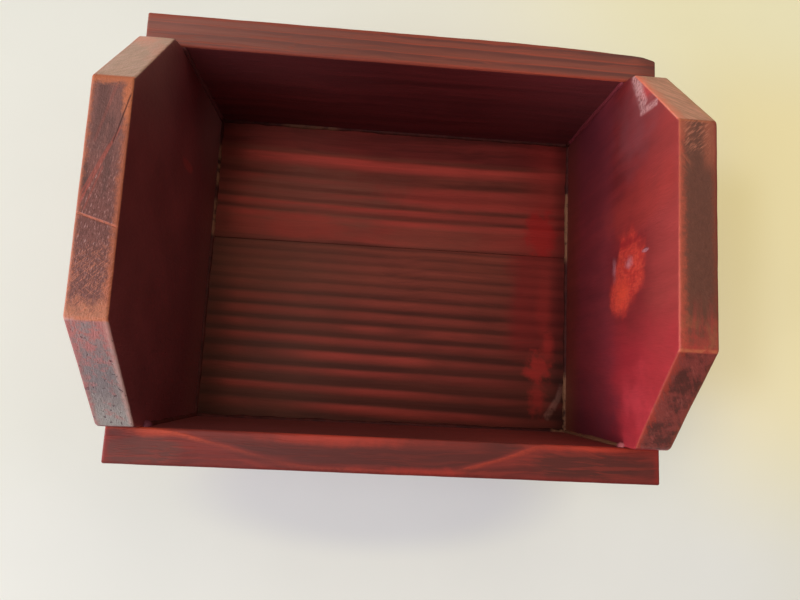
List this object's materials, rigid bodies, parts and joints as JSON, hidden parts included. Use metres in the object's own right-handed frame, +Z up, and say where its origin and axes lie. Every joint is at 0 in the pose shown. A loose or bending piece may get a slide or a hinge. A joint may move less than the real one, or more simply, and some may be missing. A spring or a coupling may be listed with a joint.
{
  "type": "open wooden box",
  "caption": "Open-topped wooden box for puzzle pieces: glued boards, taller end boards with clipped upper corners, and a floor set between the walls.",
  "frame": {"origin": "middle of the underside", "axes": "+X along the length, towards the right end board; +Y towards the back board; +Z up, out of the open top"},
  "size_m": [0.152, 0.129, 0.09],
  "materials": {
    "stained_side_boards": "satin varnish over red stain, long grain along the board",
    "stained_end_boards": "satin varnish over red stain, end grain on the top edge, arrises worn to orange",
    "stained_floor_boards": "satin varnish over red stain, raised dark growth rings",
    "dried_glue": "dried wood glue, tan and slightly glossy"
  },
  "bodies": {
    "root": {"front_board": "stained_side_boards", "back_board": "stained_side_boards", "left_end_board": "stained_end_boards", "right_end_board": "stained_end_boards", "floor_board_front": "stained_floor_boards", "floor_board_rear": "stained_floor_boards", "glue_bead_front": "dried_glue", "glue_bead_back": "dried_glue", "glue_bead_left": "dried_glue", "glue_bead_right": "dried_glue", "corner_glue_front_left": "dried_glue", "corner_glue_front_right": "dried_glue", "corner_glue_back_left": "dried_glue", "corner_glue_back_right": "dried_glue"}
  },
  "joints": []
}
